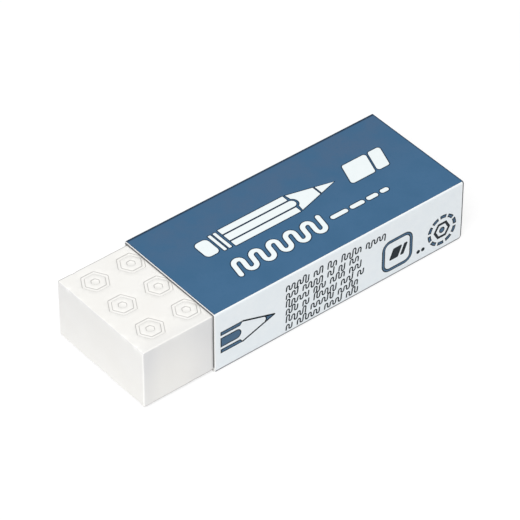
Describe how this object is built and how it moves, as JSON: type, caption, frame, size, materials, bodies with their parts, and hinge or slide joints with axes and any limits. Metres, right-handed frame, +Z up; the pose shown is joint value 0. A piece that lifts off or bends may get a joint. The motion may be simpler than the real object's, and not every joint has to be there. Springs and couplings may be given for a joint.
{
  "type": "plastic eraser",
  "caption": "White vinyl eraser block in a folded card sleeve, blue above and below with white narrow sides, that slides along it.",
  "frame": {"origin": "middle of the bounding box's underside, which lies in the plane of the sleeve's underside", "axes": "+X along the block towards its covered end, -X towards its bare working end; +Z up, out of the blue top; -Y out of the front narrow side"},
  "size_m": [0.065, 0.0228, 0.012],
  "materials": {
    "vinyl": "matte",
    "card": "satin"
  },
  "bodies": {
    "block": {"eraser_block": "vinyl"},
    "sleeve": {"sleeve": "card"}
  },
  "joints": [
    {"name": "sleeve_slide", "type": "slide", "parent": "block", "child": "sleeve", "axis": [1, 0, 0], "range_m": [-0.0137, 0.0413]}
  ]
}
